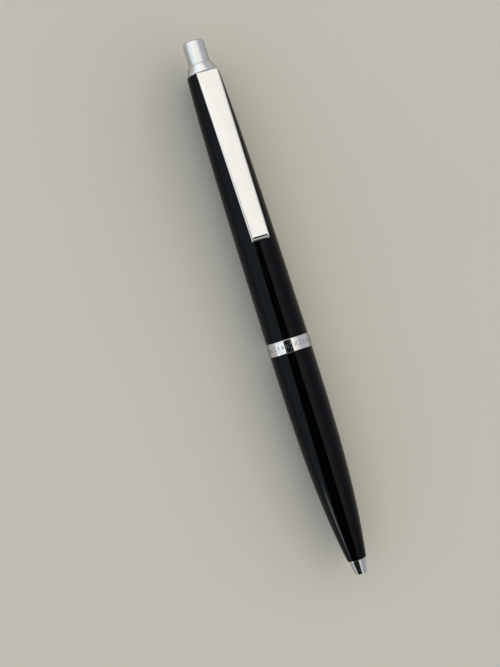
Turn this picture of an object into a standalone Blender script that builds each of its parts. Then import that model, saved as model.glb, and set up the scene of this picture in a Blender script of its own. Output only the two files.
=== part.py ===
"""A retractable ballpoint pen with a push button, a rotating-cam mechanism and a screw-apart barrel.

The pen lies along X with its clip on top. The button is at -X and the writing tip at +X. The
origin is on the surface that the pen rests on, below the middle of its length. Lengths in this
file are in millimetres, and MM turns them into metres. Positions are in the pen's own
coordinates: x along its axis, r from the axis, z up from the axis.
"""

import math

import bmesh
import bpy
from mathutils import Matrix, Vector

MM = 0.001

# Driving dimensions of the outside.
LENGTH = 138.0
BUTTON_END = -LENGTH / 2
NOSE_END = LENGTH / 2
BARREL_R = 5.4  # either side of the centre ring
RING_R = 5.47
RING_START = 8.1
RING_WIDTH = 3.35
COLLAR_TOP = -63.1
BARREL_TOP = -60.55
BARREL_TOP_R = 4.17
BARREL_END_R = 2.43
NOSE_START = 65.29
NOSE_R = 2.16
BUTTON_R = 2.65

# Clearances: a fixed fit, a running fit, and the gap left between end faces.
FIXED = 0.05
RUNNING = 0.07
FACE = 0.05

# Writing tip and refill, a metal large-capacity refill of the common 98.1 mm pattern.
REFILL_LENGTH = 98.1
TIP_RECESS = 1.3  # how far the retracted ball sits behind the nose
REFILL_TIP = NOSE_END - TIP_RECESS
REFILL_END = REFILL_TIP - REFILL_LENGTH
REFILL_R = 2.975
POINT_R = 1.15
BALL_R = 0.5
BALL_X = REFILL_TIP - BALL_R

# Click mechanism.
STROKE = 5.5  # button travel, and the travel of all it pushes
TURN = 45.0  # degrees that the rotor turns in one stroke
FIN_ANGLE = 7.0  # width of a fin or rib, in degrees
FINS = 4
TEETH = 8
TOOTH = 0.55
CROWN = -41.0  # tips of the plunger's teeth
CAM_R = 2.25
SLEEVE_BORE = 3.0
SLEEVE_R = 3.4
NECK_R = 3.0
NECK_BORE = BUTTON_R + RUNNING
SLEEVE_END = -30.5
SLEEVE_SHOULDER = -59.35
RIB_TOP = -47.0
RIB_INNER = 2.36
FIN_R = 2.9
ROTOR_FIN_TOP = -40.1
LATCH = 4.5  # travel at which a fin comes out below its rib
RIB_END = ROTOR_FIN_TOP + LATCH
SLANT = 0.3  # height of the sloping ends of the fins and ribs

# Screw joint between the barrels: a right-hand thread.
PITCH = 1.0
THREAD_START = RING_START + RING_WIDTH + 0.6
THREAD_END = 17.2
THREAD_MINOR = 3.98
THREAD_MAJOR = 4.28
INSERT_R = 4.4
INSERT_BORE = 3.2

# Lower barrel's bore, from the screw joint to the nose.
BUSH_R = 4.7
BUSH_END = 18.0
CONE_START = 55.3
SPRING_BORE_START = 57.3
SPRING_BORE = 2.45
SPRING_SEAT = 62.05
SPIGOT_R = 1.9

# Return spring.
WIRE_R = 0.2
SPRING_R = 2.05
SHOULDER = 51.2  # front of the refill's body, where the spring pushes

# Clip, a shallow channel of bent sheet whose tongue is pressed into a slot in the barrel.
SHEET = 0.5
CLIP_ROOT_X = -60.2
CLIP_FLAT_END = -17.57
CLIP_ROOT_Z = 5.87  # outer face above the pen's axis, at the root and at the foot
CLIP_FOOT_Z = 6.42
CLIP_ROOT_HALF = 2.78
CLIP_FOOT_HALF = 2.33
CLIP_DEPTH = 1.15
CLIP_EDGE = 0.36
CLIP_SLOPE = math.atan2(CLIP_FOOT_Z - CLIP_ROOT_Z, CLIP_FLAT_END - CLIP_ROOT_X)
ROOT_BEND = 0.68  # outer radii of the bends
FOOT_BEND = 0.75
FOOT_DIP = math.radians(-58)
FOOT_STRAIGHT = 0.62
HINGE_Z = 5.05  # height at which the clip's root bends
HINGE_GAP = 0.06
SLOT_FLOOR = 3.4
GROOVE = (0.42, 1.85, 0.36)  # the clip's groove: its width, half its length and its depth

ROUND = 48  # sides of the outer pieces
THREAD_ROUND = 32  # sides of the threaded ones
SMALL_ROUND = 24  # sides of the inner ones
TIP_ROUND = 16  # sides of the writing tip

# The ring's lowest flat lies on the surface, so the axis is this high above it.
AXIS_HEIGHT = RING_R * math.cos(math.pi / ROUND)


def material(name, colour, roughness, metallic):
    made = bpy.data.materials.new(name)
    made.use_nodes = True
    shader = made.node_tree.nodes["Principled BSDF"]
    shader.inputs["Base Color"].default_value = (*colour, 1)
    shader.inputs["Roughness"].default_value = roughness
    shader.inputs["Metallic"].default_value = metallic
    return made


def all_materials():
    return {
        "black_plastic": material("black_plastic", (0.006, 0.006, 0.007), 0.12, 0),
        "chrome": material("chrome", (0.72, 0.72, 0.73), 0.08, 1),
        "brass": material("brass", (0.62, 0.44, 0.18), 0.3, 1),
        "nickel_silver": material("nickel_silver", (0.66, 0.62, 0.54), 0.22, 1),
        "spring_steel": material("spring_steel", (0.5, 0.5, 0.52), 0.25, 1),
        "refill_steel": material("refill_steel", (0.6, 0.6, 0.6), 0.3, 1),
        "carbide": material("carbide", (0.25, 0.25, 0.27), 0.15, 1),
        "cam_plastic": material("cam_plastic", (0.75, 0.74, 0.7), 0.4, 0),
        "plug_plastic": material("plug_plastic", (0.02, 0.05, 0.3), 0.4, 0),
        "ink": material("ink", (0.004, 0.008, 0.05), 0.2, 0),
    }


def empty(name, parent, place):
    made = bpy.data.objects.new(name, None)
    bpy.context.scene.collection.objects.link(made)
    made.empty_display_size = 5 * MM
    made.parent = parent
    made.location = Vector(place) * MM
    return made


class Body:
    """One rigid group of pieces: an empty on its joint's axis, to which its pieces are parented."""

    def __init__(self, name, parent, pivot=(0, 0, 0)):
        self.pivot = Vector(pivot)
        offset = self.pivot - (parent.pivot if parent else Vector())
        height = Vector((0, 0, 0 if parent else AXIS_HEIGHT))
        self.empty = empty(name, parent.empty if parent else None, offset + height)

    def add(self, name, bm, finish=None):
        """Makes an object from a mesh in the pen's coordinates. Without a finish it is a helper."""
        bmesh.ops.recalc_face_normals(bm, faces=bm.faces)
        bmesh.ops.translate(bm, verts=bm.verts, vec=-self.pivot)
        bmesh.ops.scale(bm, verts=bm.verts, vec=(MM, MM, MM))
        mesh = bpy.data.meshes.new(name)
        bm.to_mesh(mesh)
        bm.free()
        mesh.shade_smooth()
        mesh.set_sharp_from_angle(angle=math.radians(35))
        made = bpy.data.objects.new(name, mesh)
        bpy.context.scene.collection.objects.link(made)
        made.parent = self.empty
        if finish:
            mesh.materials.append(finish)
        else:
            made.hide_render = True
            made.display_type = "WIRE"
        return made


def boolean(obj, other, operation):
    step = obj.modifiers.new(f"{operation.lower()}_{other.name}", "BOOLEAN")
    step.operation = operation
    step.object = other
    step.solver = "EXACT"


def turned(outline, sides=ROUND):
    """A mesh turned about the axis from a closed outline of (x, r). A flat faces straight down."""
    bm = bmesh.new()
    start = math.pi / sides
    ring = [bm.verts.new((x, r * math.sin(start), r * math.cos(start))) for x, r in outline]
    edges = [bm.edges.new((a, b)) for a, b in zip(ring, ring[1:] + ring[:1])]
    bmesh.ops.spin(
        bm,
        geom=ring + edges,
        cent=(0, 0, 0),
        axis=(1, 0, 0),
        angle=math.tau,
        steps=sides,
        use_merge=True,
    )
    bmesh.ops.remove_doubles(bm, verts=bm.verts, dist=1e-4)
    on_axis = [e for e in bm.edges if all(abs(v.co.y) + abs(v.co.z) < 1e-4 for v in e.verts)]
    bmesh.ops.delete(bm, geom=on_axis, context="EDGES")
    return bm


def prism(corners_low, corners_high):
    """A closed mesh between two outlines with the same number of corners."""
    bm = bmesh.new()
    low = [bm.verts.new(c) for c in corners_low]
    high = [bm.verts.new(c) for c in corners_high]
    bm.faces.new(low[::-1])
    bm.faces.new(high)
    for i in range(len(low)):
        j = (i + 1) % len(low)
        bm.faces.new((low[i], low[j], high[j], high[i]))
    return bm


def joined(parts):
    """Several meshes as one, each still a shell of its own."""
    bm = bmesh.new()
    for part in parts:
        mesh = bpy.data.meshes.new("part")
        part.to_mesh(mesh)
        part.free()
        bm.from_mesh(mesh)
        bpy.data.meshes.remove(mesh)
    return bm


def at_angle(x, r, degrees):
    a = math.radians(degrees)
    return Vector((x, r * math.sin(a), r * math.cos(a)))


def fin(start, end, inner, outer, degrees, slant_start=0.0, slant_end=0.0):
    """A block from inner to outer radius round one angle. Its ends may slope across its width."""
    a, b = degrees - FIN_ANGLE / 2, degrees + FIN_ANGLE / 2
    at_start = [
        at_angle(start + slant_start, inner, a),
        at_angle(start + slant_start, outer, a),
        at_angle(start, outer, b),
        at_angle(start, inner, b),
    ]
    at_end = [
        at_angle(end, inner, a),
        at_angle(end, outer, a),
        at_angle(end + slant_end, outer, b),
        at_angle(end + slant_end, inner, b),
    ]
    return prism(at_start, at_end)


def crown(base, tips, inner, outer, offset):
    """A ring whose far end is a row of pointed teeth. offset turns the row by a share of a tooth."""
    bm = bmesh.new()
    loops = {key: [] for key in ("base_in", "base_out", "tip_in", "tip_out")}
    for i in range(2 * TEETH):
        degrees = (i / 2 + offset) * 360 / TEETH
        x = tips if i % 2 == 0 else tips - math.copysign(TOOTH, tips - base)
        loops["base_in"].append(bm.verts.new(at_angle(base, inner, degrees)))
        loops["base_out"].append(bm.verts.new(at_angle(base, outer, degrees)))
        loops["tip_in"].append(bm.verts.new(at_angle(x, inner, degrees)))
        loops["tip_out"].append(bm.verts.new(at_angle(x, outer, degrees)))
    order = ["base_in", "base_out", "tip_out", "tip_in"]
    for first, second in zip(order, order[1:] + order[:1]):
        for i in range(2 * TEETH):
            j = (i + 1) % (2 * TEETH)
            a, b = loops[first], loops[second]
            bm.faces.new((a[i], a[j], b[j], b[i]))
    return bm


def helix(start, end, inner, outer, inner_width, outer_width):
    """A screw-thread ridge of tapering section, wound right-handed from start to end."""
    bm = bmesh.new()
    steps = round((end - start) / PITCH * SMALL_ROUND)
    sections = []
    for i in range(steps + 1):
        x = start + i * PITCH / SMALL_ROUND
        degrees = -360 * (x - THREAD_START) / PITCH
        corners = [
            (x - inner_width / 2, inner),
            (x - outer_width / 2, outer),
            (x + outer_width / 2, outer),
            (x + inner_width / 2, inner),
        ]
        sections.append([bm.verts.new(at_angle(cx, cr, degrees)) for cx, cr in corners])
    bm.faces.new(sections[0])
    bm.faces.new(sections[-1][::-1])
    for near, far in zip(sections, sections[1:]):
        for i in range(4):
            j = (i + 1) % 4
            bm.faces.new((near[i], near[j], far[j], far[i]))
    return bm


def arc(centre_x, centre_r, radius, from_degrees, to_degrees, steps):
    """Points of a round corner in the (x, r) plane."""
    angles = [
        math.radians(from_degrees + (to_degrees - from_degrees) * i / steps)
        for i in range(steps + 1)
    ]
    return [(centre_x + radius * math.cos(a), centre_r + radius * math.sin(a)) for a in angles]


# ---------------------------------------------------------------- the outer shells


def upper_radius(x):
    """The upper barrel's outside: almost straight behind the ring, closing in towards the top."""
    share = (RING_START - x) / (RING_START - BARREL_TOP)
    line = 0.45 * share
    return BARREL_R - line - (BARREL_R - BARREL_TOP_R - 0.45) * share**4


def lower_radius(x):
    """The lower barrel's outside, an ogive that closes with the cube of the distance."""
    start = RING_START + RING_WIDTH
    share = (x - start) / (NOSE_START - start)
    return BARREL_R - (BARREL_R - BARREL_END_R) * share**3


def stations(start, end, count, crowd):
    """Places from start to end, closer together near the end where the outline curves most."""
    return [end - (end - start) * (1 - i / count) ** crowd for i in range(count + 1)]


def upper_barrel(body, finish):
    bottom = RING_START - FACE
    outside = [(x, upper_radius(x)) for x in stations(bottom, BARREL_TOP, 11, 1.4)]
    edge = outside.pop()
    outline = outside + [
        (edge[0] + 0.1, edge[1] - 0.01),
        (edge[0], edge[1] - 0.09),
        (BARREL_TOP, NECK_R + FIXED),
        (SLEEVE_SHOULDER - FACE, NECK_R + FIXED),
        (SLEEVE_SHOULDER - FACE, SLEEVE_R + FIXED),
        (-2.0, SLEEVE_R + FIXED),
        (-2.0, INSERT_R + FIXED),
        (bottom, INSERT_R + FIXED),
    ]
    made = body.add("upper_barrel", turned(outline), finish)
    start, end = CLIP_ROOT_X - FIXED / 2, CLIP_ROOT_X + SHEET + FIXED / 2
    slot = [(start, SLOT_FLOOR), (start, 6), (end, 6), (end, SLOT_FLOOR)]
    cutter = body.add("tongue_slot_cutter", across(slot, CLIP_ROOT_HALF + FIXED))
    boolean(made, cutter, "DIFFERENCE")


def lower_barrel(body, finish):
    start = RING_START + RING_WIDTH + FACE
    end = NOSE_START - 0.03
    outside = [(x, lower_radius(x)) for x in stations(start, end, 14, 1.5)]
    edge = outside.pop()
    outline = [(start, BUSH_R + FIXED)] + outside + [
        (edge[0] - 0.12, edge[1] + 0.01),
        (edge[0], edge[1] - 0.1),
        (end, SPIGOT_R + FIXED),
        (SPRING_SEAT, SPIGOT_R + FIXED),
        (SPRING_SEAT, SPRING_BORE),
        (SPRING_BORE_START, SPRING_BORE),
        (CONE_START, 3.15),
        (BUSH_END + FIXED, 3.2),
        (BUSH_END + FIXED, BUSH_R + FIXED),
    ]
    body.add("lower_barrel", turned(outline), finish)


def centre_ring(body, finish):
    end = RING_START + RING_WIDTH
    chamfer = 0.12
    outline = [
        (RING_START, INSERT_R + FIXED),
        (RING_START, RING_R - chamfer),
        (RING_START + chamfer, RING_R),
        (end - chamfer, RING_R),
        (end, RING_R - chamfer),
        (end, INSERT_R + FIXED),
    ]
    body.add("centre_ring", turned(outline), finish)


def cap_collar(body, finish):
    bottom = BARREL_TOP - 0.02
    outline = [
        (COLLAR_TOP, NECK_BORE + 0.01),
        (COLLAR_TOP, 2.93),
        (COLLAR_TOP + 0.08, 3.02),
        (-62.4, 3.4),
        (-61.7, 3.76),
        (bottom - 0.3, 4.01),
        (bottom - 0.1, 4.08),
        (bottom, 4.04),
        (bottom, NECK_R + FIXED),
        (-62.2, NECK_R + FIXED),
        (-62.2, NECK_BORE + 0.01),
    ]
    body.add("cap_collar", turned(outline), finish)


def nose_cone(body, finish):
    rim = arc(NOSE_END - 0.12, 1.38, 0.12, 60, 0, 3)
    outline = [
        (SPRING_SEAT + 0.1, POINT_R + 0.1),
        (SPRING_SEAT + 0.1, SPIGOT_R - 0.1),
        (SPRING_SEAT + 0.2, SPIGOT_R),
        (NOSE_START, SPIGOT_R),
        (NOSE_START, NOSE_R - 0.06),
        (NOSE_START + 0.08, NOSE_R),
        *rim,
        (NOSE_END, POINT_R + 0.1),
    ]
    body.add("nose_cone", turned(outline), finish)


# ---------------------------------------------------------------- the clip


def across(outline, half):
    """An outline of (x, z), extruded across the pen to either side."""
    return prism([(x, -half, z) for x, z in outline], [(x, half, z) for x, z in outline])


def clip_top(x):
    return CLIP_ROOT_Z + (x - CLIP_ROOT_X) * math.tan(CLIP_SLOPE)


def clip_half(x):
    share = max(x - CLIP_ROOT_X, 0) / (CLIP_FLAT_END - CLIP_ROOT_X)
    return CLIP_ROOT_HALF + (CLIP_FOOT_HALF - CLIP_ROOT_HALF) * share


def bend(x, z, radius, start, end, steps):
    """Stations (x, z, heading) on a bend to the right that starts at a place with one heading."""
    centre = Vector((x + radius * math.sin(start), z - radius * math.cos(start)))
    headings = [start + (end - start) * i / steps for i in range(1, steps + 1)]
    return [
        (centre.x - radius * math.sin(h), centre.y + radius * math.cos(h), h) for h in headings
    ]


def clip_path():
    """Stations (x, z, heading, flange depth) along the clip's outer face, from root to foot."""
    bare = SHEET + 0.03
    low = HINGE_Z + HINGE_GAP / 2
    path = [(CLIP_ROOT_X, low, math.pi / 2)]
    path += bend(CLIP_ROOT_X, CLIP_ROOT_Z - ROOT_BEND, ROOT_BEND, math.pi / 2, CLIP_SLOPE, 4)
    stations = [(x, z, heading, bare) for x, z, heading in path]
    start = path[-1][0]
    ramp = [(0.3, 0.87), (0.6, 1.06), (0.9, CLIP_DEPTH)]
    places = [(start + step, depth) for step, depth in ramp]
    places += [(CLIP_FLAT_END - step, depth) for step, depth in ramp[::-1]]
    places.append((CLIP_FLAT_END, bare))
    stations += [(x, clip_top(x), CLIP_SLOPE, depth) for x, depth in places]
    foot = bend(CLIP_FLAT_END, clip_top(CLIP_FLAT_END), FOOT_BEND, CLIP_SLOPE, FOOT_DIP, 5)
    x, z, _ = foot[-1]
    end = FOOT_STRAIGHT
    foot.append((x + end * math.cos(FOOT_DIP), z + end * math.sin(FOOT_DIP), FOOT_DIP))
    return stations + [(x, z, heading, bare) for x, z, heading in foot]


def channel_section(x, z, heading, depth):
    """The sheet's section at a station: a channel open towards the barrel, its edges bevelled."""
    half = clip_half(x)
    outer = [(half, -depth), (half, -CLIP_EDGE), (half - CLIP_EDGE, 0)]
    inner = [(half - SHEET, -SHEET), (half - SHEET, -depth)]
    loop = [(-y, up) for y, up in outer] + outer[::-1]
    loop += inner[::-1] + [(-y, up) for y, up in inner]
    out = Vector((-math.sin(heading), math.cos(heading)))
    return [(x + out.x * up, y, z + out.y * up) for y, up in loop]


def clip_arm(body, finish):
    bm = bmesh.new()
    sections = [[bm.verts.new(c) for c in channel_section(*s)] for s in clip_path()]
    for near, far in zip(sections, sections[1:]):
        for i in range(len(near)):
            j = (i + 1) % len(near)
            bm.faces.new((near[i], near[j], far[j], far[i]))
    bm.faces.new(sections[0])
    bm.faces.new(sections[-1][::-1])
    made = body.add("clip_arm", bm, finish)
    width, half, depth = GROOVE
    top = clip_top(CLIP_FLAT_END)
    start = CLIP_FLAT_END - width / 2
    groove = [(start, top - depth), (start, top + 1), (start + width, top + 1)]
    groove.append((start + width, top - depth))
    boolean(made, body.add("clip_groove_cutter", across(groove, half)), "DIFFERENCE")


def clip_tongue(body, finish):
    """The end of the clip's sheet, pressed into the barrel's slot below the collar."""
    start, end = CLIP_ROOT_X, CLIP_ROOT_X + SHEET
    low, high = SLOT_FLOOR + FIXED, HINGE_Z - HINGE_GAP / 2
    outline = [(start, low), (start, high), (end, high), (end, low)]
    body.add("clip_tongue", across(outline, CLIP_ROOT_HALF), finish)


# ---------------------------------------------------------------- the click mechanism


def push_button(body, finish):
    corner = 0.45
    bore = BUTTON_R - 0.35
    mouth = -58.4
    outline = [
        (BUTTON_END + 0.6, 0),
        (BUTTON_END, 0),
        *arc(BUTTON_END + corner, BUTTON_R - corner, corner, 180, 90, 3),
        (-58.95, BUTTON_R),
        (-58.95, 2.88),
        (mouth, 2.88),
        (mouth, bore),
        (BUTTON_END + 0.6, bore),
    ]
    body.add("push_button", turned(outline), finish)


def plunger_cam(body, finish):
    """Pressed into the button. Its fins run between the sleeve's ribs, so that it can't turn."""
    stem = BUTTON_R - 0.35 - FIXED
    base = CROWN - TOOTH - 0.6
    pilot = 1.05
    outline = [
        (BUTTON_END + 0.7, 0),
        (BUTTON_END + 0.7, stem),
        (-58.35, stem),
        (-58.35, 2.85),
        (-57.6, 2.85),
        (-57.6, stem),
        (base, stem),
        (base, pilot),
        (CROWN + 3.4, pilot),
        (CROWN + 3.6, pilot - 0.2),
        (CROWN + 3.6, 0),
    ]
    made = body.add("plunger_cam", turned(outline, SMALL_ROUND), finish)
    teeth = crown(base - 0.5, CROWN, 1.3, stem - 0.03, 0.0)
    boolean(made, body.add("plunger_teeth_part", teeth), "UNION")
    fins = [fin(-46.2, CROWN - 1.0, 1.8, FIN_R, 360 / FINS * i + 45) for i in range(FINS)]
    boolean(made, body.add("plunger_fins_part", joined(fins)), "UNION")


def rotor_cam(body, finish):
    """Turns a step at each click. Its fins ride up between the ribs, or latch below them."""
    base = CROWN + 0.1 + TOOTH + 0.5
    foot = REFILL_END - 0.1
    outline = [(base, 1.2), (base, CAM_R), (foot, CAM_R), (foot, 1.2)]
    made = body.add("rotor_cam", turned(outline, SMALL_ROUND), finish)
    teeth = crown(base + 0.4, CROWN + 0.1, 1.3, CAM_R - 0.03, 0.5)
    boolean(made, body.add("rotor_teeth_part", teeth), "UNION")
    fins = [
        fin(ROTOR_FIN_TOP, ROTOR_FIN_TOP + 3.4, 1.8, FIN_R, 90 * i + 45, slant_start=SLANT)
        for i in range(FINS)
    ]
    boolean(made, body.add("rotor_fins_part", joined(fins)), "UNION")


def cam_sleeve(body, finish):
    """The brass housing, clamped to the barrel's top by the collar. Its ribs guide the fins."""
    top = -62.15
    lip = -59.0
    outline = [
        (top, NECK_BORE),
        (top, NECK_R),
        (SLEEVE_SHOULDER, NECK_R),
        (SLEEVE_SHOULDER, SLEEVE_R),
        (SLEEVE_END - 0.2, SLEEVE_R),
        (SLEEVE_END, SLEEVE_R - 0.2),
        (SLEEVE_END, SLEEVE_BORE),
        (lip, SLEEVE_BORE),
        (lip, NECK_BORE),
    ]
    made = body.add("cam_sleeve", turned(outline, SMALL_ROUND), finish)
    ribs = [
        fin(RIB_TOP, RIB_END, RIB_INNER, SLEEVE_BORE + 0.15, 90 * i, slant_end=-SLANT)
        for i in range(FINS)
    ]
    boolean(made, body.add("sleeve_ribs_part", joined(ribs)), "UNION")


# ---------------------------------------------------------------- the screw joint


def thread_insert(body, finish):
    end = THREAD_END + 0.3
    shoulder = RING_START + RING_WIDTH
    outline = [
        (-1.9, INSERT_BORE),
        (-1.9, INSERT_R - 0.15),
        (-1.75, INSERT_R),
        (shoulder, INSERT_R),
        (shoulder, THREAD_MINOR),
        (end - 0.2, THREAD_MINOR),
        (end, THREAD_MINOR - 0.2),
        (end, INSERT_BORE),
    ]
    made = body.add("thread_insert", turned(outline, THREAD_ROUND), finish)
    ridge = helix(THREAD_START, THREAD_END - 0.2, THREAD_MINOR - 0.15, THREAD_MAJOR, 0.58, 0.2)
    boolean(made, body.add("insert_ridge_part", ridge), "UNION")


def thread_bush(body, finish):
    start = RING_START + RING_WIDTH + 2 * FACE
    bore = THREAD_MINOR + 0.1
    outline = [
        (start, bore + 0.2),
        (start, BUSH_R),
        (BUSH_END, BUSH_R),
        (BUSH_END, bore + 0.2),
        (BUSH_END - 0.2, bore),
        (start + 0.2, bore),
    ]
    made = body.add("thread_bush", turned(outline, THREAD_ROUND), finish)
    groove = helix(
        THREAD_START - 2 * PITCH, THREAD_END + 2 * PITCH, THREAD_MINOR - 0.1, 4.36, 0.7, 0.32
    )
    boolean(made, body.add("bush_groove_cutter", groove), "DIFFERENCE")


# ---------------------------------------------------------------- the refill and its spring


def refill_tube(body, finish):
    start = REFILL_END + 3.4
    bore = 2.65
    outline = [
        (start, bore),
        (start, REFILL_R),
        (49.5, REFILL_R),
        (50.9, 2.36),
        (SHOULDER, 2.3),
        (SHOULDER, 1.68),
        (50.6, 1.68),
        (49.4, bore),
    ]
    body.add("refill_tube", turned(outline, SMALL_ROUND), finish)


def refill_plug(body, finish):
    """The castellated plastic stopper at the refill's back end."""
    step = REFILL_END + 3.35
    outline = [
        (REFILL_END, 0.5),
        (REFILL_END, 2.6),
        (REFILL_END + 0.3, 2.85),
        (step, 2.85),
        (step, 2.6),
        (step + 2.5, 2.6),
        (step + 2.5, 0.5),
    ]
    made = body.add("refill_plug", turned(outline, SMALL_ROUND), finish)
    half = 0.4
    slots = []
    for degrees in (0, 60, 120):
        slot = across([(REFILL_END - 1, -4), (REFILL_END - 1, 4), (REFILL_END + 1.6, 4),
                       (REFILL_END + 1.6, -4)], half)
        turn = Matrix.Rotation(math.radians(degrees), 3, "X")
        bmesh.ops.rotate(slot, verts=slot.verts, cent=(0, 0, 0), matrix=turn)
        slots.append(slot)
    for i, slot in enumerate(slots):
        boolean(made, body.add(f"plug_slot_cutter_{i}", slot), "DIFFERENCE")


def ink_column(body, finish):
    outline = [(-19.0, 0), (-19.0, 2.2), (-18.6, 2.6), (46.0, 2.6), (46.0, 0)]
    body.add("ink_column", turned(outline, SMALL_ROUND), finish)


def refill_neck(body, finish):
    outline = [
        (46.2, 0.85),
        (46.2, 2.6),
        (49.35, 2.6),
        (50.55, 1.62),
        (56.2, 1.62),
        (56.3, 1.5),
        (56.3, 0.85),
    ]
    body.add("refill_neck", turned(outline, SMALL_ROUND), finish)


def writing_tip(body, finish):
    """The point: a cone with a ball socket at its end and an ink channel down its middle."""
    socket = BALL_R + 0.03
    lip = math.degrees(math.acos(0.22 / socket))
    seat = math.degrees(math.acos(-0.45 / socket))
    outline = [
        (54.2, 0.4),
        (54.2, 0.8),
        (56.35, 0.8),
        (56.35, POINT_R - 0.1),
        (56.45, POINT_R),
        (BALL_X - 2.6, POINT_R),
        (BALL_X - 0.5, 0.68),
        (BALL_X + 0.22, 0.56),
        *arc(BALL_X, 0, socket, lip, seat, 6),
        (BALL_X - 0.45, 0.2),
        (BALL_X - 1.0, 0.2),
        (BALL_X - 1.2, 0.4),
    ]
    body.add("writing_tip", turned(outline, TIP_ROUND), finish)


def writing_ball(body, finish):
    bm = bmesh.new()
    bmesh.ops.create_icosphere(bm, subdivisions=2, radius=BALL_R)
    bmesh.ops.translate(bm, verts=bm.verts, vec=(BALL_X, 0, 0))
    body.add("writing_ball", bm, finish)


def spring_line():
    """The centre of the spring's wire: a closed turn at each end and seven open ones between."""
    start, end = SHOULDER + 0.05 + WIRE_R, SPRING_SEAT - 0.05 - WIRE_R
    closed = 2.2 * WIRE_R
    turns, open_turns, steps = 9, 7, 12
    open_pitch = (end - start - 2 * closed) / open_turns
    points = []
    for i in range(turns * steps + 1):
        t = i / steps
        x = start + closed * min(t, 1) + open_pitch * min(max(t - 1, 0), open_turns)
        x += closed * max(t - 1 - open_turns, 0)
        points.append(at_angle(x, SPRING_R, -360 * t))
    return points


def return_spring(body, finish):
    curve = bpy.data.curves.new("return_spring", "CURVE")
    curve.dimensions = "3D"
    curve.bevel_depth = WIRE_R * MM
    curve.bevel_resolution = 1
    curve.use_fill_caps = True
    line = curve.splines.new("POLY")
    points = spring_line()
    line.points.add(len(points) - 1)
    for point, place in zip(line.points, points):
        point.co = (*((place - body.pivot) * MM), 1)
    curve.materials.append(finish)
    made = bpy.data.objects.new("return_spring", curve)
    bpy.context.scene.collection.objects.link(made)
    made.parent = body.empty


def main():
    for obj in list(bpy.data.objects):
        bpy.data.objects.remove(obj)
    looks = all_materials()
    upper = Body("upper_barrel_axis", None)
    clip = Body("clip_pivot", upper, (CLIP_ROOT_X + SHEET / 2, 0, HINGE_Z))
    button = Body("button_axis", upper)
    refill = Body("refill_axis", upper)
    rotor = Body("rotor_axis", refill)
    ball = Body("ball_centre", refill, (BALL_X, 0, 0))
    ring = Body("ring_axis", upper)
    lower = Body("lower_barrel_axis", ring)

    upper_barrel(upper, looks["black_plastic"])
    cap_collar(upper, looks["chrome"])
    clip_tongue(upper, looks["chrome"])
    cam_sleeve(upper, looks["brass"])
    thread_insert(upper, looks["brass"])
    clip_arm(clip, looks["chrome"])
    push_button(button, looks["chrome"])
    plunger_cam(button, looks["cam_plastic"])
    rotor_cam(rotor, looks["cam_plastic"])
    refill_tube(refill, looks["refill_steel"])
    refill_plug(refill, looks["plug_plastic"])
    ink_column(refill, looks["ink"])
    refill_neck(refill, looks["brass"])
    writing_tip(refill, looks["nickel_silver"])
    writing_ball(ball, looks["carbide"])
    centre_ring(ring, looks["chrome"])
    lower_barrel(lower, looks["black_plastic"])
    thread_bush(lower, looks["brass"])
    nose_cone(lower, looks["chrome"])
    return_spring(lower, looks["spring_steel"])


main()
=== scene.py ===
"""The retractable ballpoint pen: its fine meshes, materials, studio and camera.

Lengths are in millimetres in the pen's own coordinates: x along its axis towards the writing tip,
r from the axis, y across and z up from the axis. MM and LIFT turn them into the frame's metres.
"""

import math

import bmesh
import bpy
from mathutils import Matrix, Vector


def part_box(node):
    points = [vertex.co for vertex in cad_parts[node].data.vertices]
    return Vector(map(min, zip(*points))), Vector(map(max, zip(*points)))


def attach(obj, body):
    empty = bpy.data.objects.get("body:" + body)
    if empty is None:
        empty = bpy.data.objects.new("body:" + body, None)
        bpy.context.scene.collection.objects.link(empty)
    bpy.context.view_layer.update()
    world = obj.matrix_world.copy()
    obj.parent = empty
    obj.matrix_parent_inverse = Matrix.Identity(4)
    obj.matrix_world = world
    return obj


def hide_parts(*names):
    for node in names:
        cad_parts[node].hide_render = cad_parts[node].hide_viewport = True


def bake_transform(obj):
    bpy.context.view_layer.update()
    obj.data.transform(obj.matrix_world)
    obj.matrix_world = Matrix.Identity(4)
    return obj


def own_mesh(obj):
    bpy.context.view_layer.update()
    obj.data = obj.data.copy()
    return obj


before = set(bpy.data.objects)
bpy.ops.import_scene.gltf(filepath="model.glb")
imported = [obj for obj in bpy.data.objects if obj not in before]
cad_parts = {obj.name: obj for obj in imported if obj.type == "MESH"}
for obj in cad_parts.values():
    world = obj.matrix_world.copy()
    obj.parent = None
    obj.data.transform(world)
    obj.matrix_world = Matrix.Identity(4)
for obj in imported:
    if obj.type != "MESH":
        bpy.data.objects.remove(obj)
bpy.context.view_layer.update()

MM = 0.001


def node_box(name):
    low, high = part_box(name)
    return Vector(low) / MM, Vector(high) / MM


def middle(box, axis):
    return (box[0][axis] + box[1][axis]) / 2


RING_BOX = node_box("centre_ring")
LIFT = middle(RING_BOX, 2)  # height of the pen's axis above the floor

# Places along the pen, read from the frame.
BUTTON_END = node_box("push_button")[0].x
BUTTON_FOOT = node_box("push_button")[1].x
COLLAR_TOP = node_box("cap_collar")[0].x
BARREL_TOP = node_box("upper_barrel")[0].x
UPPER_END = node_box("upper_barrel")[1].x
RING_START, RING_END = RING_BOX[0].x, RING_BOX[1].x
LOWER_START = node_box("lower_barrel")[0].x
NOSE_START = node_box("lower_barrel")[1].x
NOSE_END = node_box("nose_cone")[1].x
CLIP_BACK = node_box("clip_arm")[0].x
SLEEVE_SHOULDER = node_box("cam_sleeve")[0].x + 2.8
NECK_END = node_box("refill_neck")[1].x
TIP_BOX = node_box("writing_tip")
BALL_X = middle(node_box("writing_ball"), 0)

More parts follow.
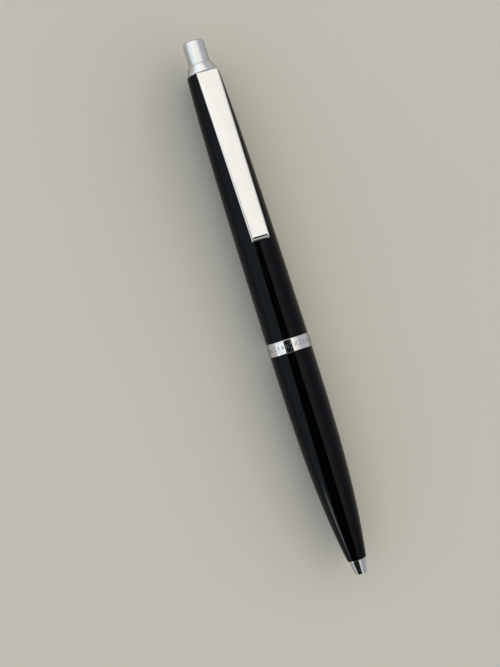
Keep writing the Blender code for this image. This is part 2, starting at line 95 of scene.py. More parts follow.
SIDES = 160  # of the outer turned pieces
BARREL_R = 5.4
BARREL_END_R = 2.43
RING_R = 5.47
BUTTON_R = 2.65
INSERT_R = 4.4
NECK_SEAT_R = 3.06  # bore for the sleeve's neck
BUSH_R, BUSH_END = 4.7, 18.0
SPRING_SEAT, SPRING_BORE_START, SPRING_BORE = 62.05, 57.3, 2.45
CONE_START = 55.3
REFILL_R = 2.975
BALL_R = 0.5


# ---------------------------------------------------------------- meshes


def place(x, y, z):
    return Vector((x * MM, y * MM, (z + LIFT) * MM))


def round_place(x, r, angle):
    return place(x, r * math.sin(angle), r * math.cos(angle))


def piece(name, bm, looks, body=None, nodes=(), sharp=40):
    """A finished object from a mesh in the frame's metres, riding on its body."""
    bmesh.ops.recalc_face_normals(bm, faces=bm.faces)
    mesh = bpy.data.meshes.new(name)
    bm.to_mesh(mesh)
    bm.free()
    mesh.shade_smooth()
    mesh.set_sharp_from_angle(angle=math.radians(sharp))
    obj = bpy.data.objects.new(name, mesh)
    bpy.context.scene.collection.objects.link(obj)
    for look in looks:
        mesh.materials.append(look)
    weigh = obj.modifiers.new("weighted_normals", "WEIGHTED_NORMAL")
    weigh.keep_sharp = True
    if body:
        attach(obj, body)
    if nodes:
        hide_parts(*nodes)
    return obj


def rounded(corners, steps=5, hold=0.05):
    """Points of a closed outline from its corners (x, r, fillet radius).

    A point held beside each end of a fillet keeps the straight stretches flat when shaded."""
    points = []
    for i, (x, r, fillet) in enumerate(corners):
        here = Vector((x, r))
        if not fillet:
            points.append((x, r))
            continue
        before = Vector(corners[i - 1][:2]) - here
        after = Vector(corners[(i + 1) % len(corners)][:2]) - here
        half = before.angle(after) / 2
        back = min(fillet / math.tan(half), 0.45 * min(before.length, after.length))
        radius = back * math.tan(half)
        inward = (before.normalized() + after.normalized()).normalized()
        centre = here + inward * (radius / math.sin(half))
        first = here + before.normalized() * back - centre
        last = here + after.normalized() * back - centre
        turn = first.angle_signed(last)
        if before.length > 2 * (back + hold):
            points.append(tuple(here + before.normalized() * (back + hold)))
        for k in range(steps + 1):
            a = -turn * k / steps
            cos, sin = math.cos(a), math.sin(a)
            points.append(
                (centre.x + first.x * cos - first.y * sin, centre.y + first.x * sin + first.y * cos)
            )
        if after.length > 2 * (back + hold):
            points.append(tuple(here + after.normalized() * (back + hold)))
    return points


def turned(outline, sides=SIDES, radius=None):
    """A mesh turned about the axis from a closed outline of (x, r). radius(x, r, angle) may change r."""
    bm = bmesh.new()
    rings = []
    for x, r in outline:
        if r < 1e-6:
            rings.append([bm.verts.new(place(x, 0, 0))] * sides)
            continue
        ring = []
        for k in range(sides):
            angle = math.tau * (k + 0.5) / sides
            ring.append(bm.verts.new(round_place(x, radius(x, r, angle) if radius else r, angle)))
        rings.append(ring)
    for near, far in zip(rings, rings[1:] + rings[:1]):
        for k in range(sides):
            j = (k + 1) % sides
            corners = list(dict.fromkeys((near[k], near[j], far[j], far[k])))
            if len(corners) > 2:
                bm.faces.new(corners)
    return bm


def run(function, start, end, count):
    """A curved stretch of an outline, as corners with no fillet."""
    return [
        (x, function(x), 0)
        for x in (start + (end - start) * (i / count) for i in range(count + 1))
    ]


def box_mesh(low, high):
    bm = bmesh.new()
    bmesh.ops.create_cube(bm, size=1)
    size = Vector(high) - Vector(low)
    centre = (Vector(high) + Vector(low)) / 2
    for v in bm.verts:
        p = Vector((v.co.x * size.x, v.co.y * size.y, v.co.z * size.z)) + centre
        v.co = place(*p)
    return bm


def cut(obj, cutters):
    """Takes the cutters' meshes out of an object, for good. Cut faces get the cutter's material."""
    bm = bmesh.new()
    for cutter in cutters:
        mesh = bpy.data.meshes.new("cutter")
        bmesh.ops.recalc_face_normals(cutter, faces=cutter.faces)
        cutter.to_mesh(mesh)
        cutter.free()
        bm.from_mesh(mesh)
        bpy.data.meshes.remove(mesh)
    mesh = bpy.data.meshes.new("cutter")
    bm.to_mesh(mesh)
    bm.free()
    for look in obj.data.materials[-1:]:
        mesh.materials.append(look)
    other = bpy.data.objects.new("cutter", mesh)
    bpy.context.scene.collection.objects.link(other)
    step = obj.modifiers.new("cut", "BOOLEAN")
    step.object = other
    step.solver = "EXACT"
    step.material_mode = "TRANSFER"
    while obj.modifiers[0] != step:
        obj.modifiers.move(len(obj.modifiers) - 1, 0)
    with bpy.context.temp_override(object=obj, active_object=obj):
        bpy.ops.object.modifier_apply(modifier=step.name)
    bpy.data.objects.remove(other)
    bpy.data.meshes.remove(mesh)


# ---------------------------------------------------------------- materials


class Look:
    """A material whose Principled shader is fed by a few procedural patterns."""

    def __init__(self, name, **constants):
        self.made = bpy.data.materials.new(name)
        self.made.use_nodes = True
        self.tree = self.made.node_tree
        self.shader = self.tree.nodes["Principled BSDF"]
        for key, value in constants.items():
            self.shader.inputs[key.replace("_", " ")].default_value = value
        self.where = self.tree.nodes.new("ShaderNodeTexCoord").outputs["Object"]

    def node(self, kind, inputs=(), **settings):
        made = self.tree.nodes.new(kind)
        for key, value in settings.items():
            setattr(made, key, value)
        for socket, value in dict(inputs).items():
            if isinstance(value, bpy.types.NodeSocket):
                self.tree.links.new(value, made.inputs[socket])
            else:
                made.inputs[socket].default_value = value
        return made

    def stretched(self, scale, turn=(0, 0, 0)):
        """Coordinates scaled unevenly, so that a pattern becomes streaks."""
        inputs = {"Vector": self.where, "Scale": scale, "Rotation": turn}
        return self.node("ShaderNodeMapping", inputs).outputs["Vector"]

    def noise(self, scale, detail=2, where=None, rough=0.5):
        inputs = {
            "Vector": where or self.where,
            "Scale": scale,
            "Detail": detail,
            "Roughness": rough,
        }
        return self.node("ShaderNodeTexNoise", inputs).outputs["Fac"]

    def between(self, value, from_low, from_high, low, high):
        inputs = {0: value, 1: from_low, 2: from_high, 3: low, 4: high}
        return self.node("ShaderNodeMapRange", inputs).outputs[0]

    def math(self, operation, a, b=0.0):
        return self.node("ShaderNodeMath", {0: a, 1: b}, operation=operation).outputs[0]

    def colours(self, value, dark, light):
        ramp = self.node("ShaderNodeValToRGB", {"Fac": value})
        ramp.color_ramp.elements[0].color = (*dark, 1)
        ramp.color_ramp.elements[1].color = (*light, 1)
        return ramp.outputs["Color"]

    def mixed(self, share, a, b):
        """A mix of two colours."""
        return self.node("ShaderNodeMix", {0: share, 6: a, 7: b}, data_type="RGBA").outputs[2]

    def scaled(self, colour, factor):
        inputs = {0: colour, "Scale": factor}
        return self.node("ShaderNodeVectorMath", inputs, operation="SCALE").outputs[0]

    def mix(self, share, a, b):
        return self.node(
            "ShaderNodeMix", {"Factor": share, "A": a, "B": b}, data_type="FLOAT"
        ).outputs[0]

    def link(self, socket, output):
        self.tree.links.new(output, self.shader.inputs[socket])

    def bump(self, height, depth_mm, strength=1.0):
        inputs = {"Height": height, "Distance": depth_mm * MM, "Strength": strength}
        self.link("Normal", self.node("ShaderNodeBump", inputs).outputs["Normal"])

    def scratches(self, across, along, threshold):
        """Sparse fine lines, 0 or 1, mostly along the pen."""
        where = self.stretched((along, across, across), (0.1, 0.06, 0.16))
        fine = self.noise(1.0, 1, where)
        return self.between(fine, threshold, threshold + 0.02, 0, 1)

    def specks(self, scale, size):
        """Small round specks of dust, 0 or 1."""
        cells = self.node("ShaderNodeTexVoronoi", {"Vector": self.where, "Scale": scale})
        return self.between(cells.outputs["Distance"], size, size * 0.6, 0, 1)


def polished_metal(name, dark, light, rough=(0.03, 0.1), wave=0.0006):
    """Bright plated or polished metal: faint smears, hairline scratches and slight waves."""
    look = Look(name, Metallic=1.0)
    # The edge tint darkens the metal's reflection towards its silhouettes: painted shade for the
    # shadowed floor that the edges reflect.
    look.shader.inputs["Specular Tint"].default_value = (0.42, 0.45, 0.5, 1)
    smear = look.noise(160, 4, look.stretched((0.5, 1, 1)))
    lines = look.scratches(9000, 260, 0.66)
    look.link("Base Color", look.colours(look.between(smear, 0.3, 0.7, 0, 1), dark, light))
    cloudy = look.between(smear, 0.42, 0.72, rough[0], rough[1])
    look.link("Roughness", look.mix(lines, cloudy, rough[1] + 0.14))
    waves = look.noise(240, 2)
    height = look.math("MULTIPLY_ADD", lines, -0.25)
    look.tree.links.new(waves, height.node.inputs[2])
    look.bump(height, wave)
    return look.made


def gloss_plastic(name, dark, light, specular=0.14):
    """Gloss moulded plastic: a soft orange peel, hairline scratches and a little dust."""
    look = Look(name)
    look.shader.inputs["Specular IOR Level"].default_value = specular
    look.shader.inputs["Specular Tint"].default_value = (0.86, 1.0, 1.09, 1)
    patches = look.noise(90, 3)
    dust = look.specks(700, 0.05)
    ink = look.colours(patches, dark, light)
    look.link("Base Color", look.mixed(dust, ink, (0.03, 0.03, 0.028, 1)))
    lines = look.scratches(8000, 300, 0.68)
    smear = look.noise(140, 4, look.stretched((0.4, 1, 1)))
    cloudy = look.between(smear, 0.4, 0.75, 0.07, 0.13)
    look.link("Roughness", look.mix(look.math("MAXIMUM", lines, dust), cloudy, 0.3))
    peel = look.noise(420, 2)
    look.bump(peel, 0.0012)
    return look.made


def turned_metal(name, dark, light, rough=(0.2, 0.34)):
    """Machined metal, with the fine rings that a lathe leaves round its axis."""
    look = Look(name, Metallic=1.0)
    rings = look.noise(1.0, 3, look.stretched((14000, 60, 60)))
    stain = look.noise(300, 3)
    look.link("Base Color", look.colours(look.between(stain, 0.3, 0.7, 0, 1), dark, light))
    look.link("Roughness", look.between(rings, 0.3, 0.7, rough[0], rough[1]))
    look.bump(rings, 0.003)
    return look.made


def moulded_plastic(name, dark, light, rough=(0.32, 0.5)):
    """Inner moulded parts: a satin skin with a fine grain."""
    look = Look(name)
    grain = look.noise(2600, 3)
    patch = look.noise(220, 2)
    look.link("Base Color", look.colours(look.between(patch, 0.3, 0.7, 0, 1), dark, light))
    look.link("Roughness", look.between(grain, 0.3, 0.7, rough[0], rough[1]))
    look.bump(grain, 0.004)
    return look.made


def etched_metal(name, dark=(0.1, 0.1, 0.1), light=(0.3, 0.3, 0.3)):
    """The matt ground of engraved marks. Its near-black use in the clip foot's groove is painted shade
    and dark reflection.
    """
    look = Look(name, Metallic=1.0)
    grain = look.noise(22000, 2)
    look.link("Base Color", look.colours(grain, dark, light))
    look.link("Roughness", look.between(grain, 0.3, 0.7, 0.5, 0.75))
    look.bump(grain, 0.01)
    return look.made


def floor_material():
    """A plain pale worktop, matt and very slightly cloudy."""
    look = Look("pale_floor")
    look.shader.inputs["Specular IOR Level"].default_value = 0.0
    cloud = look.noise(9, 3)
    look.link("Base Color", look.colours(cloud, (0.62, 0.6, 0.54), (0.66, 0.64, 0.58)))
    look.link("Roughness", look.between(cloud, 0.3, 0.7, 0.6, 0.7))
    return look.made


# ---------------------------------------------------------------- the outer shells


def upper_radius(x):
    share = (RING_START - x) / (RING_START - BARREL_TOP)
    return BARREL_R - 0.45 * share - 0.78 * share**4


def lower_radius(x):
    share = (x - RING_END) / (NOSE_START + 0.03 - RING_END)
    return BARREL_R - (BARREL_R - BARREL_END_R) * share**3


def upper_shell(looks):
    end = UPPER_END
    outline = rounded(
        [
            (end, INSERT_R + 0.06, 0.1),
            (end, BARREL_R, 0.1),
            *run(upper_radius, end - 0.4, BARREL_TOP + 0.5, 80),
            (BARREL_TOP, upper_radius(BARREL_TOP), 0.14),
            (BARREL_TOP, NECK_SEAT_R, 0),
            (SLEEVE_SHOULDER - 0.04, NECK_SEAT_R, 0),
            (SLEEVE_SHOULDER - 0.04, 3.46, 0),
            (-2, 3.46, 0),
            (-2, INSERT_R + 0.06, 0),
        ]
    )
    shell = piece(
        "upper_barrel_shell",
        turned(outline),
        [looks["black"]],
        "upper_barrel",
        ["upper_barrel"],
    )
    half = ROOT_HALF + 0.05
    slot = (CLIP_BACK - 0.03, -half, SLOT_FLOOR), (CLIP_BACK + SHEET + 0.03, half, 6)
    cut(shell, [box_mesh(*slot)])


def lower_shell(looks):
    start, end = LOWER_START, NOSE_START
    outline = rounded(
        [
            (start, BUSH_R + 0.07, 0.1),
            (start, BARREL_R, 0.1),
            *run(lower_radius, start + 0.4, end - 0.35, 90),
            (end, lower_radius(end), 0.1),
            (end, 1.97, 0),
            (SPRING_SEAT, 1.97, 0),
            (SPRING_SEAT, SPRING_BORE, 0),
            (SPRING_BORE_START, SPRING_BORE, 0),
            (CONE_START, 3.15, 0),
            (BUSH_END + 0.06, 3.2, 0),
            (BUSH_END + 0.06, BUSH_R + 0.07, 0),
        ]
    )
    piece(
        "lower_barrel_shell",
        turned(outline),
        [looks["black"]],
        "lower_barrel",
        ["lower_barrel"],
    )


# Plain engraved strokes, by place and half size (x, y, half x, half y): they say nothing.
MARKS = [
    [(0, -0.2, 0.5, 0.07), (0, 0.2, 0.5, 0.07)],
    [(-0.38, 0, 0.09, 0.3), (0.38, 0, 0.09, 0.3)],
    [(0, 0, 0.5, 0.09)],
    [(-0.3, 0, 0.08, 0.28), (0, 0, 0.08, 0.28), (0.3, 0, 0.08, 0.28)],
]


def ring_marks():
    """Cutters for a row of marks all round the ring."""
    cutters = []
    count, depth = 30, 0.05
    mid = (RING_START + RING_END) / 2
    for k in range(count):
        angle = math.tau * (k + 0.5) / count
        for x, y, half_long, half_wide in MARKS[k % len(MARKS)]:
            low = (mid + x - half_long, y - half_wide, RING_R - depth)
            bm = box_mesh(low, (mid + x + half_long, y + half_wide, RING_R + 0.3))
            spin = Matrix.Rotation(-angle, 3, "X")
            bmesh.ops.rotate(bm, verts=bm.verts, cent=place(0, 0, 0), matrix=spin)
            cutters.append(bm)
    return cutters


def ring_shell(looks):
    inner = INSERT_R + 0.06
    outline = rounded(
        [
            (RING_START, inner, 0.08),
            (RING_START, RING_R, 0.13),
            (RING_END, RING_R, 0.13),
            (RING_END, inner, 0.08),
        ]
    )
    shell = piece(
        "centre_ring_shell", turned(outline), [looks["chrome"], looks["etched"]], "ring",
        ["centre_ring"],
    )
    cut(shell, ring_marks())


def collar_shell(looks):
    top, bottom = COLLAR_TOP, BARREL_TOP - 0.02

    def flare(x):
        share = (x - top) / (bottom - top)
        return 3.0 + 1.1 * share - 0.2 * share * (share - 1)

    outline = rounded(
        [
            (top, BUTTON_R + 0.08, 0.06),
            (top, 2.98, 0.08),
            *run(flare, top + 0.12, bottom - 0.2, 16),
            (bottom, 4.09, 0.09),
            (bottom, NECK_SEAT_R, 0),
            (-62.2, NECK_SEAT_R, 0),
            (-62.2, BUTTON_R + 0.08, 0),
        ]
    )
    piece(
        "collar_shell", turned(outline), [looks["chrome"]], "upper_barrel", ["cap_collar"]
    )


def nose_shell(looks):
    outline = rounded(
        [
            (SPRING_SEAT + 0.1, 1.25, 0),
            (SPRING_SEAT + 0.1, 1.9, 0.1),
            (NOSE_START + 0.03, 1.9, 0),
            (NOSE_START + 0.03, 2.17, 0.06),
            (NOSE_END, 1.47, 0.13),
            (NOSE_END, 1.25, 0.06),
        ]
    )
    piece("nose_shell", turned(outline), [looks["nose"]], "lower_barrel", ["nose_cone"])


def button_shell(looks):
    flange, wall = -58.95, 0.34
    outline = rounded(
        [
            (BUTTON_END + 0.6, 0, 0),
            (BUTTON_END, 0, 0),
            (BUTTON_END, BUTTON_R, 0.46),
            (flange, BUTTON_R, 0),
            (flange, 2.88, 0),
            (BUTTON_FOOT, 2.88, 0),
            (BUTTON_FOOT, BUTTON_R - wall, 0),
            (BUTTON_END + 0.6, BUTTON_R - wall, 0),
        ],
        8,
    )
    piece("button_shell", turned(outline), [looks["button"]], "button", ["push_button"])


# ---------------------------------------------------------------- the clip

SHEET = 0.5
FLAT_END = -17.57
ROOT_Z, FOOT_Z = 5.87, 6.42  # outer face above the pen's axis
ROOT_HALF, FOOT_HALF = 2.78, 2.33
SLOPE = math.atan2(FOOT_Z - ROOT_Z, FLAT_END - CLIP_BACK)
ROOT_BEND, FOOT_BEND = 0.68, 0.75
FOOT_DIP = math.radians(-58)
FOOT_STRAIGHT = 0.62
FLANGE = 1.15
SLOT_FLOOR = 3.4
GROOVE = (0.42, 1.85, 0.36)  # its width, half its length and its depth


def arc(start, radius, first, last, steps):
    """Stations (point, heading) on a bend to the right that starts at a point with one heading."""
    centre = start + radius * Vector((math.sin(first), -math.cos(first)))
    headings = [first + (last - first) * i / steps for i in range(1, steps + 1)]
    return [(centre + radius * Vector((-math.sin(h), math.cos(h))), h) for h in headings]


def line(start, heading, length, steps):
    way = Vector((math.cos(heading), math.sin(heading)))
    return [(start + way * (length * i / steps), heading) for i in range(1, steps + 1)]


def clip_path():
    """Stations (point, heading) along the clip's outer face, from the slot to the foot."""
    low = SLOT_FLOOR + 0.05
    stations = [(Vector((CLIP_BACK, low)), math.pi / 2)]
    stations += line(stations[0][0], math.pi / 2, ROOT_Z - ROOT_BEND - low, 6)
    stations += arc(stations[-1][0], ROOT_BEND, math.pi / 2, SLOPE, 8)
    flat = (FLAT_END - stations[-1][0].x) / math.cos(SLOPE)
    stations += line(stations[-1][0], SLOPE, flat, 60)
    stations += arc(stations[-1][0], FOOT_BEND, SLOPE, FOOT_DIP, 12)
    return stations + line(stations[-1][0], FOOT_DIP, FOOT_STRAIGHT, 4)


def clip_half(x):
    share = (x - CLIP_BACK) / (FLAT_END - CLIP_BACK)
    return ROOT_HALF + (FOOT_HALF - ROOT_HALF) * share


def flange_depth(x, heading):
    """How deep the clip's side walls are: full on the flat, and gone round the bends."""
    bare = SHEET + 0.03
    if heading != SLOPE:
        return bare
    grow = min((x - CLIP_BACK - ROOT_BEND) / 0.9, (FLAT_END - x) / 0.9, 1)
    return bare + (FLANGE - bare) * math.sin(max(grow, 0) * math.pi / 2)


def clip_section(half, depth, inset):
    """The sheet's section as (across, along the outward direction): a shallow channel."""
    edge = 0.36
    half, top, wall = half - inset, -inset, SHEET - 2 * inset
    points = [(-half, inset - depth)]
    for k in range(7):
        a = math.pi - math.pi / 2 * k / 6
        points.append((edge - half + edge * math.cos(a), top - edge + edge * math.sin(a)))
    flat = half - edge
    points += [(flat * k / 4, top) for k in (-3, -2, -1, 0, 1, 2, 3)]
    for k in range(7):
        a = math.pi / 2 - math.pi / 2 * k / 6
        points.append((half - edge + edge * math.cos(a), top - edge + edge * math.sin(a)))
    points.append((half, inset - depth))
    points.append((half - wall, inset - depth))
    points += [(half - wall, top - wall - 0.01), (half - wall - 0.12, top - wall)]
    points += [(wall + 0.12 - half, top - wall), (wall - half, top - wall - 0.01)]
    points.append((wall - half, inset - depth))
    return points


def clip_sheet(looks):
    bm = bmesh.new()
    loops = []
    stations = clip_path()
    for i, (point, heading) in enumerate(stations):
        out = Vector((-math.sin(heading), math.cos(heading)))
        inset = 0.05 if i in (0, len(stations) - 1) else 0
        loop = []
        section = clip_section(clip_half(point.x), flange_depth(point.x, heading), inset)
        for across, up in section:
            spot = point + out * up
            loop.append(bm.verts.new(place(spot.x, across, spot.y)))
        loops.append(loop)
    for near, far in zip(loops, loops[1:]):
        for k in range(len(near)):
            j = (k + 1) % len(near)
            bm.faces.new((near[k], near[j], far[j], far[k]))
    bm.faces.new(loops[0][::-1])
    bm.faces.new(loops[-1])
    made = piece("clip_sheet", bm, [looks["clip"], looks["groove"]], sharp=50)
    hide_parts("clip_arm", "clip_tongue")
    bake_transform(made)
    # The groove's cut faces take a near-black ground: painted shade and dark reflection at the foot's
    # bend.
    width, half, depth = GROOVE
    start = (FLAT_END - width / 2, -half, FOOT_Z - depth)
    cut(made, [box_mesh(start, (FLAT_END + width / 2, half, FOOT_Z + 1))])


# ---------------------------------------------------------------- inner pieces

PITCH = 1.0
THREAD_START, THREAD_END = RING_END + 0.6, 17.2
THREAD_MINOR, THREAD_MAJOR = 3.98, 4.28


def thread_height(x, angle, start, end, core, crest, root, flank):
    """How far a right-handed thread stands out at a place: 0 at its root and 1 on its crest."""
    phase = (x - THREAD_START) / PITCH + angle / math.tau
    away = abs(phase - round(phase)) * PITCH
    shape = min(max((root / 2 - away) / flank, 0), 1)
    fade = min(max((x - start) / 0.4, 0), max((end - x) / 0.4, 0), 1)
    return core + (crest - core) * shape * fade


def thread_insert(looks):
    end = THREAD_END + 0.3
    count = 110

    def radius(x, r, angle):
        if THREAD_START - 0.3 < x < THREAD_END and abs(r - THREAD_MINOR) < 1e-6:
            return thread_height(
                x, angle, THREAD_START - 0.3, THREAD_END, THREAD_MINOR, THREAD_MAJOR, 0.52, 0.16
            )
        return r

    outline = rounded(
        [
            (-1.9, 3.2, 0.06),
            (-1.9, INSERT_R, 0.15),
            (RING_END, INSERT_R, 0.05),
            (RING_END, THREAD_MINOR, 0),
            *run(lambda x: THREAD_MINOR, THREAD_START - 0.3, THREAD_END, count),
            (end, THREAD_MINOR, 0.18),
            (end, 3.2, 0.06),
        ],
        4,
    )
    piece(
        "thread_insert_turned", turned(outline, 120, radius), [looks["brass"]], "upper_barrel",
        ["thread_insert"],
    )


def thread_bush(looks):
    start, end = RING_END + 0.1, BUSH_END
    bore, groove, chamfer = THREAD_MINOR + 0.1, 4.38, 0.2

    def radius(x, r, angle):
        if abs(r - bore) > 1e-6:
            return r
        height = thread_height(x, angle, start - 1, end - 0.25, bore, groove, 0.68, 0.17)
        return max(height, bore + chamfer - min(x - start, end - x))

    outline = rounded(
        [
            (start, BUSH_R, 0.06),
            (end, BUSH_R, 0.06),
            *run(lambda x: bore, end, start, 120),
        ],
        3,
    )
    piece(
        "thread_bush_turned", turned(outline, 120, radius), [looks["brass"]], "lower_barrel",
        ["thread_bush"],
    )


def writing_point(looks):
    front = TIP_BOX[1].x
    socket = 0.53
    corners = [
        (54.2, 0.4, 0),
        (54.2, 0.8, 0.05),
        (NECK_END + 0.05, 0.8, 0),
        (NECK_END + 0.05, 1.15, 0.1),
        (BALL_X - 2.6, 1.15, 0.4),
        (BALL_X - 0.75, 0.72, 0.3),
        (front, 0.55, 0.04),
    ]
    for k in range(9):
        a = math.radians(65 + (148 - 65) * k / 8)
        corners.append((BALL_X + socket * math.cos(a), socket * math.sin(a), 0))
    corners += [(BALL_X - 0.47, 0.2, 0), (BALL_X - 1.0, 0.2, 0), (BALL_X - 1.2, 0.4, 0)]
    piece(
        "writing_point", turned(rounded(corners), 96), [looks["nickel"]], "refill",
        ["writing_tip"],
    )
    angles = [math.pi * k / 24 for k in range(25)]
    half = [(BALL_X - BALL_R * math.cos(a), BALL_R * math.sin(a)) for a in angles]
    half[0], half[-1] = (BALL_X - BALL_R, 0), (BALL_X + BALL_R, 0)
    piece("ball", turned(half, 48), [looks["carbide"]], "ball", ["writing_ball"])


def return_spring(looks):
    """Drawn wire wound on a helix, with a closed turn at each end."""
    low, high = node_box("return_spring")
    wire, coil = 0.2, 2.05
    start, end = low.x + wire, high.x - wire
    closed, turns, steps, sides = 2.2 * wire, 9, 40, 12
    pitch = (end - start - 2 * closed) / (turns - 2)
    bm = bmesh.new()
    loops = []
    for i in range(turns * steps + 1):
        t = i / steps
        x = start + closed * min(t, 1) + pitch * min(max(t - 1, 0), turns - 2)
        x += closed * max(t - turns + 1, 0)
        angle = -math.tau * t
        loop = []
        for k in range(sides):
            a = math.tau * k / sides
            loop.append(
                bm.verts.new(round_place(x + wire * math.sin(a), coil + wire * math.cos(a), angle))
            )
        loops.append(loop)
    for near, far in zip(loops, loops[1:]):
        for k in range(sides):
            j = (k + 1) % sides
            bm.faces.new((near[k], near[j], far[j], far[k]))
    bm.faces.new(loops[0])
    bm.faces.new(loops[-1][::-1])
    made = piece(
        "return_spring_wire", bm, [looks["spring"]], "lower_barrel", ["return_spring"],
        60,
    )
    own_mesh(made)


def refill_pieces(looks):
    tube = node_box("refill_tube")[0].x
    outline = rounded(
        [
            (tube, 2.65, 0.05),
            (tube, REFILL_R, 0.1),
            (49.5, REFILL_R, 0.5),
            (50.9, 2.36, 0.2),
            (51.2, 2.3, 0.05),
            (51.2, 1.68, 0),
            (50.6, 1.68, 0),
            (49.4, 2.65, 0),
        ]
    )
    piece(
        "refill_tube_drawn", turned(outline, 96), [looks["steel"]], "refill", ["refill_tube"],
    )
    outline = rounded(
        [
            (46.2, 0.85, 0),
            (46.2, 2.6, 0),
            (49.35, 2.6, 0),
            (50.55, 1.62, 0),
            (NECK_END, 1.62, 0.12),
            (NECK_END, 0.85, 0),
        ]
    )
    piece(
        "refill_neck_turned", turned(outline, 96), [looks["brass"]], "refill", ["refill_neck"],
    )


def all_looks():
    return {
        "black": gloss_plastic("gloss_black", (0.0004, 0.0004, 0.0005), (0.0012, 0.0012, 0.0013)),
        "chrome": polished_metal("polished_chrome", (0.74, 0.74, 0.75), (0.84, 0.84, 0.85)),
        "clip": polished_metal("clip_chrome", (0.76, 0.76, 0.76), (0.85, 0.85, 0.85)),
        "button": polished_metal(
            "button_chrome", (0.66, 0.67, 0.68), (0.76, 0.77, 0.78), (0.06, 0.13)
        ),
        # The clip foot's groove ground is near-black: painted shade and dark reflection at the foot's
        # bend.
        "groove": etched_metal("clip_groove_painted_shade", (0.02, 0.018, 0.015), (0.06, 0.05, 0.04)),
        "nose": polished_metal("nose_chrome", (0.7, 0.72, 0.73), (0.8, 0.82, 0.83)),
        "etched": etched_metal("etched_marks", (0.16, 0.16, 0.16), (0.4, 0.4, 0.4)),
        "brass": turned_metal("turned_brass", (0.55, 0.37, 0.13), (0.68, 0.48, 0.2)),
        "nickel": turned_metal("nickel_silver", (0.6, 0.56, 0.48), (0.72, 0.68, 0.6), (0.14, 0.25)),
        "spring": polished_metal("spring_wire", (0.42, 0.42, 0.44), (0.56, 0.56, 0.58), (0.18, 0.3)),
        "steel": turned_metal("refill_steel", (0.5, 0.5, 0.5), (0.64, 0.64, 0.64)),
        "carbide": polished_metal("carbide", (0.2, 0.2, 0.22), (0.3, 0.3, 0.32), (0.1, 0.2)),
        "cam": moulded_plastic("cam_plastic", (0.66, 0.65, 0.6), (0.78, 0.77, 0.73)),
        "plug": moulded_plastic("plug_plastic", (0.015, 0.04, 0.26), (0.025, 0.06, 0.34)),
        "ink": moulded_plastic("ink", (0.002, 0.005, 0.04), (0.005, 0.01, 0.07), (0.1, 0.2)),
    }


def dress_frame(looks):
    """Better materials on the inner CAD nodes that stay."""
    kept = {
        "cam_sleeve": "brass",
        "plunger_cam": "cam",
        "rotor_cam": "cam",
        "refill_plug": "plug",
        "ink_column": "ink",
    }
    for node, look in kept.items():
        for material_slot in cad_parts[node].material_slots:
            material_slot.material = looks[look]


# ---------------------------------------------------------------- studio and camera

def floor():
    bm = bmesh.new()
    bmesh.ops.create_grid(bm, x_segments=1, y_segments=1, size=4)
    mesh = bpy.data.meshes.new("floor")
    bm.to_mesh(mesh)
    bm.free()
    mesh.materials.append(floor_material())
    made = bpy.data.objects.new("floor", mesh)
    bpy.context.scene.collection.objects.link(made)


# The studio, by degrees to either side of straight up and degrees of lean towards the pen's nose.
# A soft box hangs overhead, between a cool pale wall on the left and a dim one on the right.
SOFT_ROOM = [
    (-90, (0.8, 0.9, 1.0)),
    (-30, (1.2, 1.2, 1.15)),
    (15, (1.1, 1.08, 1.0)),
    (50, (0.5, 0.5, 0.55)),
]
ROOM_ENDS = [(-80, 0.3), (-64, 1.0), (15, 1.0), (60, 0.3)]  # lean and brightness
# A black flag hangs over the front half, and its left edge slants outwards to the nose.
FLAG_COLOUR = (0.01, 0.015, 0.016, 1)
FLAG_BACK, FLAG_FRONT = -10, 42
FLAG_LEFT, FLAG_SLANT, FLAG_RIGHT = -35, -1.5, 5
# A window stands low on the left.
WINDOW_LEAN, WINDOW_SIDE, WINDOW_LIGHT = (17, 27), (-110, -75), 5.0
# The soft light that falls on matt surfaces, from the horizon up and from left to right.
SKY_LOW, SKY_HIGH = 2.55, 0.05
SKY_LEFT, SKY_RIGHT = 0.62, 1.36
LEFT_TINT, RIGHT_TINT = (0.95, 1.0, 1.06, 1), (1.03, 0.99, 0.92, 1)
BACKDROP = (0.6, 0.58, 0.54, 1)


class World:
    """Helper for the studio's node tree."""

    def __init__(self):
        self.made = bpy.data.worlds.new("studio")
        self.made.use_nodes = True
        self.tree = self.made.node_tree
        bpy.context.scene.world = self.made

    node = Look.node
    math = Look.math
    between = Look.between
    mixed = Look.mixed
    scaled = Look.scaled

    def curve(self, value, points):
        """A piecewise linear function of value, from points (value, result)."""
        total = points[0][1]
        for (x0, y0), (x1, y1) in zip(points, points[1:]):
            total = self.math("ADD", self.between(value, x0, x1, 0, y1 - y0), total)
        return total

    def inside(self, value, low, high, soft):
        """1 between two limits and 0 outside them, with soft edges."""
        after = self.between(self.math("SUBTRACT", value, low), -soft / 2, soft / 2, 0, 1)
        before = self.between(self.math("SUBTRACT", high, value), -soft / 2, soft / 2, 0, 1)
        return self.math("MULTIPLY", after, before)

    def sides(self, side, bands):
        """The colour at so many degrees to the side."""
        ramp = self.node("ShaderNodeValToRGB", {"Fac": self.between(side, -90, 90, 0, 1)})
        elements = ramp.color_ramp.elements
        while len(elements) < len(bands):
            elements.new(0.5)
        for element, (degrees, colour) in zip(elements, bands):
            element.position = (degrees + 90) / 180
            element.color = (*colour, 1)
        return ramp.outputs["Color"]

    def background(self, colour, strength):
        inputs = {"Color": colour, "Strength": strength}
        return self.node("ShaderNodeBackground", inputs).outputs[0]

    def chosen(self, share, a, b):
        return self.node("ShaderNodeMixShader", {0: share, 1: a, 2: b}).outputs[0]


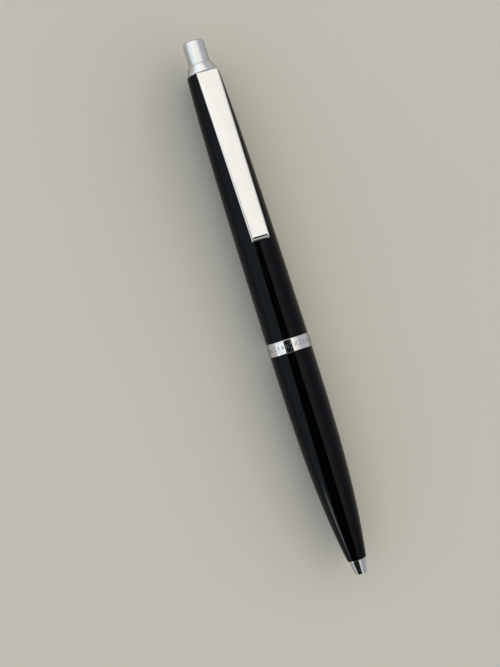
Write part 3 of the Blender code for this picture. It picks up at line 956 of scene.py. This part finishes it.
def studio():
    world = World()
    where = world.node("ShaderNodeTexCoord").outputs["Generated"]
    x, y, z = world.node("ShaderNodeSeparateXYZ", {0: where}).outputs
    side = world.math("MULTIPLY", world.math("ARCTAN2", y, z), 180 / math.pi)
    lean = world.math("MULTIPLY", world.math("ARCSINE", x), 180 / math.pi)
    shown = world.scaled(world.sides(side, SOFT_ROOM), world.curve(lean, ROOM_ENDS))
    edge = world.math("ADD", world.math("MULTIPLY", lean, FLAG_SLANT), FLAG_LEFT)
    flag = world.inside(side, edge, FLAG_RIGHT, 3)
    flag = world.math("MULTIPLY", flag, world.inside(lean, FLAG_BACK, FLAG_FRONT, 6))
    shown = world.mixed(flag, shown, FLAG_COLOUR)
    pane = world.inside(lean, *WINDOW_LEAN, 4)
    pane = world.math("MULTIPLY", pane, world.inside(side, *WINDOW_SIDE, 5))
    pane = world.scaled((1, 1, 1), world.math("MULTIPLY", pane, WINDOW_LIGHT))
    shown = world.node("ShaderNodeVectorMath", {0: shown, 1: pane}, operation="ADD").outputs[0]
    height = world.between(z, 0, 1, SKY_LOW, SKY_HIGH)
    sky = world.math("MULTIPLY", height, world.between(y, -1, 1, SKY_LEFT, SKY_RIGHT))
    tint = world.mixed(world.between(y, -0.6, 0.6, 0, 1), LEFT_TINT, RIGHT_TINT)
    ray = world.node("ShaderNodeLightPath").outputs
    lit = world.chosen(
        ray["Is Diffuse Ray"], world.background(shown, 1.0), world.background(tint, sky)
    )
    lit = world.chosen(ray["Is Camera Ray"], lit, world.background(BACKDROP, 1.0))
    world.tree.links.new(lit, world.tree.nodes["World Output"].inputs["Surface"])


def camera():
    """Looks straight down on the pen, which is rolled a little so that its clip faces right."""
    scale = 4.03  # picture points per millimetre at the pen's axis, in a picture 667 points high
    away = 250.0
    lean = math.radians(17.64)  # of the pen from upright
    roll = math.radians(10.5)
    target_x, target_side = 4.05, -8.34  # what the middle of the picture shows
    back = Vector((0, -math.sin(roll), math.cos(roll)))
    across = Vector((0, math.cos(roll), math.sin(roll)))
    along = Vector((1, 0, 0))
    right = along * math.sin(lean) + across * math.cos(lean)
    up = across * math.sin(lean) - along * math.cos(lean)
    data = bpy.data.cameras.new("camera")
    data.sensor_width = 36
    data.lens = 36 * scale * away / 667
    data.clip_start = 0.01
    made = bpy.data.objects.new("camera", data)
    bpy.context.scene.collection.objects.link(made)
    spot = along * target_x + across * target_side + back * away
    turn = Matrix((right, up, back)).transposed().to_4x4()
    made.matrix_world = Matrix.Translation(place(*spot)) @ turn
    bpy.context.scene.camera = made


def main():
    looks = all_looks()
    upper_shell(looks)
    collar_shell(looks)
    clip_sheet(looks)
    thread_insert(looks)
    button_shell(looks)
    refill_pieces(looks)
    writing_point(looks)
    ring_shell(looks)
    lower_shell(looks)
    thread_bush(looks)
    nose_shell(looks)
    return_spring(looks)
    dress_frame(looks)
    floor()
    studio()
    camera()
    bpy.context.scene.view_settings.view_transform = "Standard"


main()
